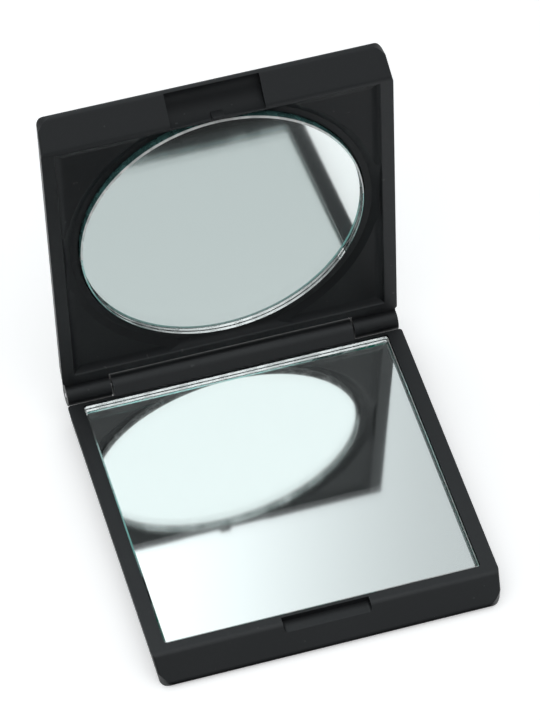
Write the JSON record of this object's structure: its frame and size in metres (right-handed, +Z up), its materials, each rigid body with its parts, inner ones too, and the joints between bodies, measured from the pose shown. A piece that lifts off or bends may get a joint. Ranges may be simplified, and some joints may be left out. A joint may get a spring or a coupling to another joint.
{
  "type": "compact mirror",
  "caption": "Folding pocket mirror compact in matte black plastic, with a square mirror in the base and a round mirror in the hinged lid.",
  "frame": {"origin": "middle of the underside of the base, on the surface it rests on", "axes": "+Z up, +Y towards the hinge at the back, +X to the right along the hinge line"},
  "size_m": [0.065, 0.0771, 0.0704],
  "materials": {
    "case_plastic": "fine-grained soft matte black",
    "cover_plastic": "fine-grained soft matte black",
    "mirror_glass": "silvered float glass with ground, seamed edges",
    "pin_steel": "drawn steel wire",
    "tape_foam": "white double-sided foam tape"
  },
  "bodies": {
    "base": {"base_frame": "case_plastic", "base_cover": "cover_plastic", "square_mirror": "mirror_glass", "square_mirror_tape": "tape_foam", "hinge_pin_left": "pin_steel", "hinge_pin_right": "pin_steel"},
    "lid": {"lid_frame": "case_plastic", "lid_cover": "cover_plastic", "round_mirror": "mirror_glass", "round_mirror_tape": "tape_foam"}
  },
  "joints": [
    {"name": "lid_hinge", "type": "hinge", "parent": "base", "child": "lid", "pos_m": [0, 0.0343, 0.0055], "axis": [-1, 0, 0], "range_deg": [-96, 14]}
  ]
}
